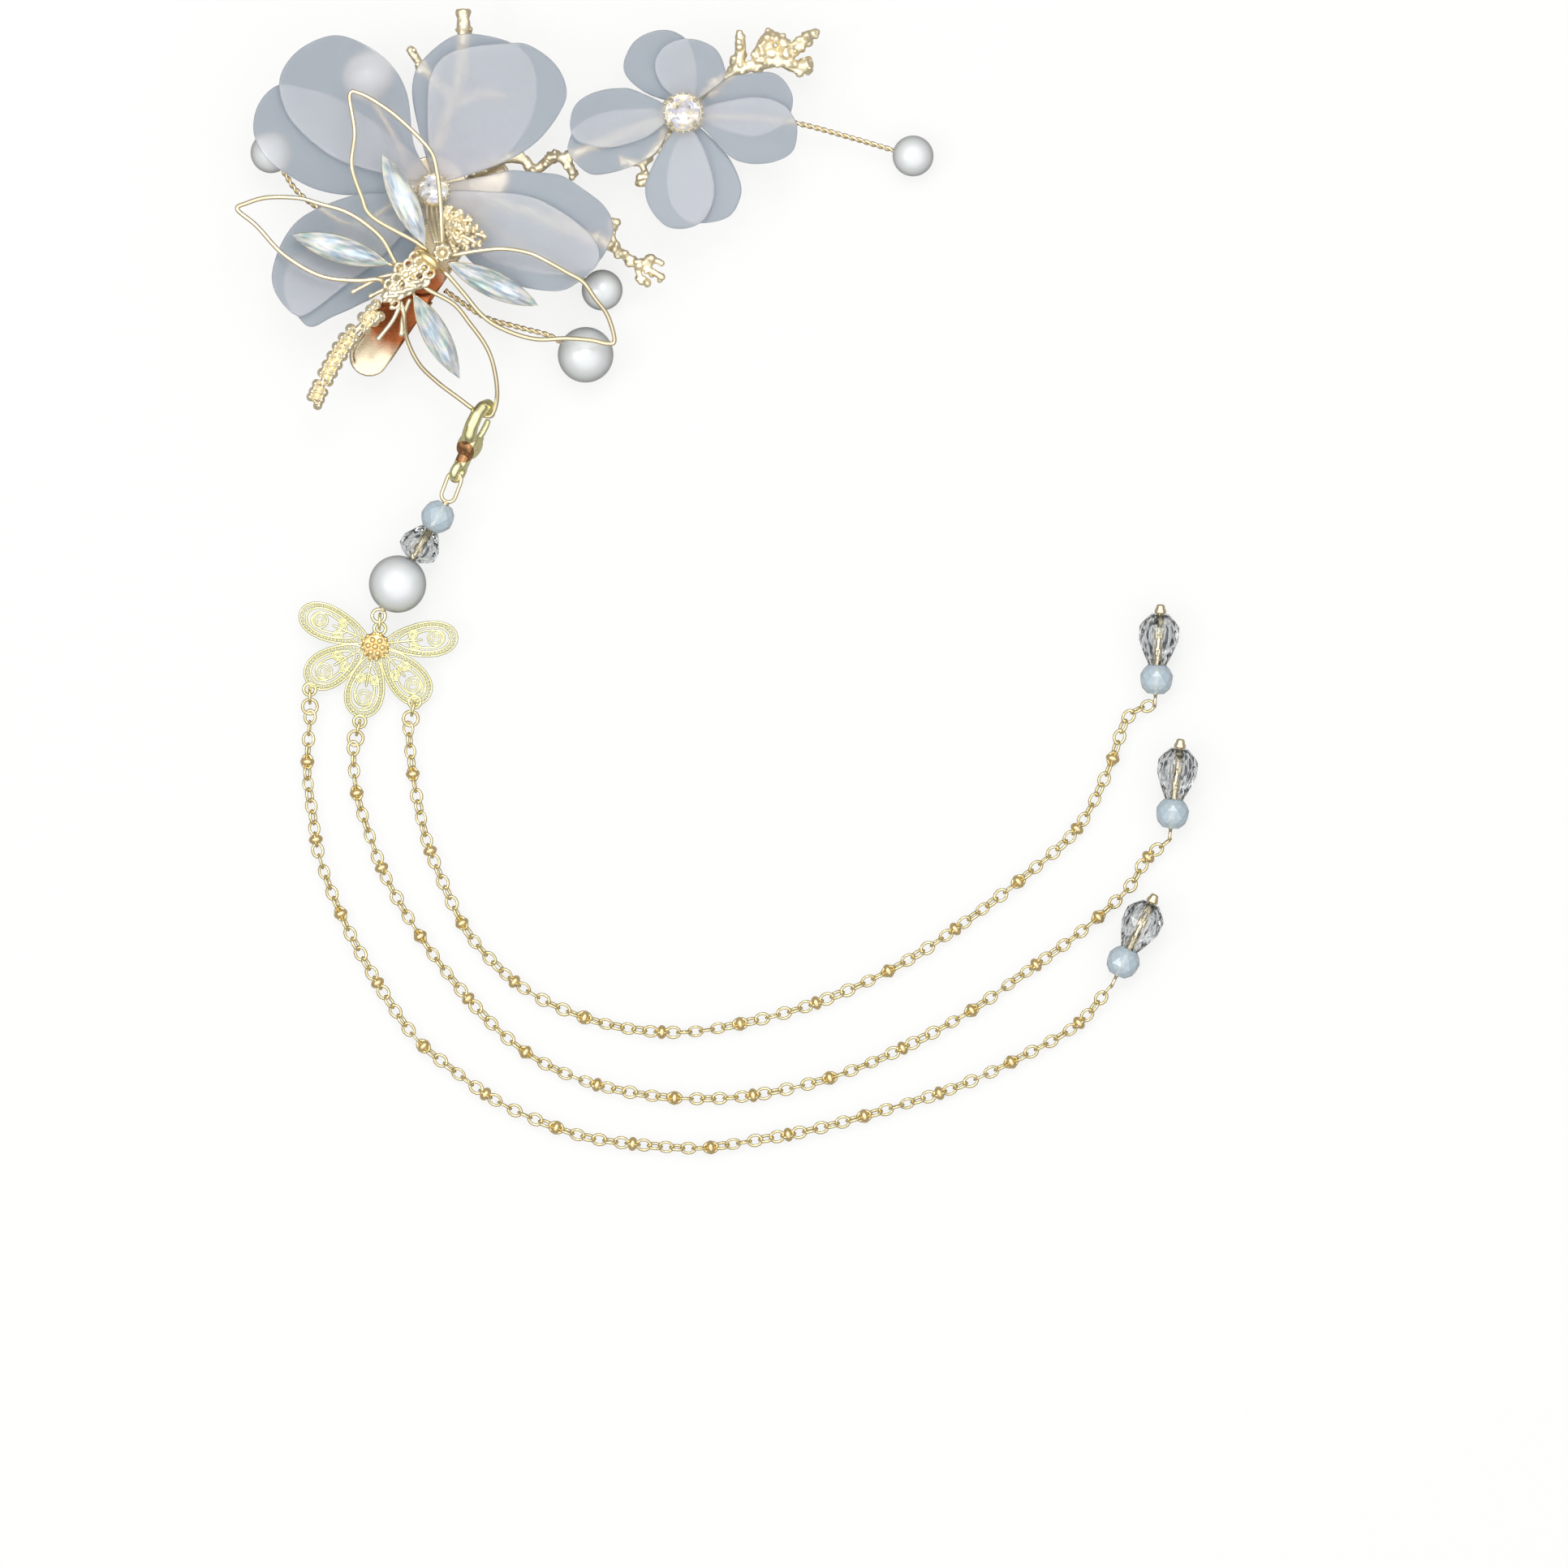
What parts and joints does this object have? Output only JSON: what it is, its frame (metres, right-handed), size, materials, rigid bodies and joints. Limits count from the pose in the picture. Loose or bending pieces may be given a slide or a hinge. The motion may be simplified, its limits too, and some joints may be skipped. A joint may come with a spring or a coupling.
{
  "type": "bridal hair clip",
  "caption": "Sprung hair clip with frosted petal flowers, coral twigs, pearls and a dragonfly; a bead drop carries a filigree butterfly with hanging chains.",
  "frame": {"origin": "centre of the flat underside of the clip, on the surface that it lies on", "axes": "+Z up out of the surface towards the viewer, +Y up in the flat-lay view, towards the flowers, +X to the right"},
  "size_m": [0.1691, 0.2017, 0.0204],
  "materials": {
    "clip_metal": "polished",
    "coral_gold": "satin",
    "cast_gold": "polished, granulated",
    "wire_gold": "polished",
    "setting_gold": "polished",
    "chain_gold": "polished",
    "petal_resin": "frosted, translucent",
    "clear_crystal": "cut and polished",
    "opal_stone": "cut, milky opal glass",
    "opal_bead": "milky blue opal glass",
    "pearl": "pearl lustre"
  },
  "bodies": {
    "headpiece": {"clip_top_arm": "clip_metal", "clip_pin": "clip_metal", "clip_spring": "clip_metal", "coral_link": "coral_gold", "coral_top": "coral_gold", "coral_right": "coral_gold", "coral_small": "coral_gold", "stamens": "coral_gold", "dragonfly_body": "cast_gold", "stem_left": "wire_gold", "stem_hidden": "wire_gold", "stem_mid": "wire_gold", "stem_big": "wire_gold", "stem_far": "wire_gold", "wing_upper": "wire_gold", "wing_left": "wire_gold", "wing_right": "wire_gold", "wing_lower": "wire_gold", "large_setting": "setting_gold", "small_setting": "setting_gold", "clasp_body": "chain_gold", "drop_pin": "chain_gold", "drop_ring": "chain_gold", "butterfly": "chain_gold", "jump_rings": "chain_gold", "chain_outer": "chain_gold", "chain_middle": "chain_gold", "chain_inner": "chain_gold", "end_pins": "chain_gold", "large_front_petal_1": "petal_resin", "large_front_petal_2": "petal_resin", "large_front_petal_3": "petal_resin", "large_front_petal_4": "petal_resin", "large_back_petal_1": "petal_resin", "large_back_petal_2": "petal_resin", "large_back_petal_3": "petal_resin", "large_back_petal_4": "petal_resin", "small_front_petals": "petal_resin", "small_back_petals": "petal_resin", "large_stone": "clear_crystal", "small_stone": "clear_crystal", "drop_crystal": "clear_crystal", "end_crystal_outer": "clear_crystal", "end_crystal_middle": "clear_crystal", "end_crystal_inner": "clear_crystal", "wing_stones": "opal_stone", "drop_blue_bead": "opal_bead", "end_blue_beads": "opal_bead", "pearl_left": "pearl", "pearl_hidden": "pearl", "pearl_mid": "pearl", "pearl_big": "pearl", "pearl_far": "pearl", "drop_pearl": "pearl"},
    "clip_jaw": {"clip_jaw": "clip_metal"},
    "clasp_lever": {"clasp_lever": "chain_gold"}
  },
  "joints": [
    {"name": "clip_hinge", "type": "hinge", "parent": "headpiece", "child": "clip_jaw", "pos_m": [-0.00336, -0.00497, 0.003], "axis": [-0.829, 0.5592, 0], "range_deg": [0, 22], "stiffness_Nm_per_rad": 0.12, "springref_deg": -17.19},
    {"name": "clasp_hinge", "type": "hinge", "parent": "headpiece", "child": "clasp_lever", "pos_m": [0.00703, -0.03135, 0.00684], "axis": [0.81, -0.409, 0.4203], "range_deg": [0, 18], "stiffness_Nm_per_rad": 0.002, "springref_deg": -11.46}
  ]
}
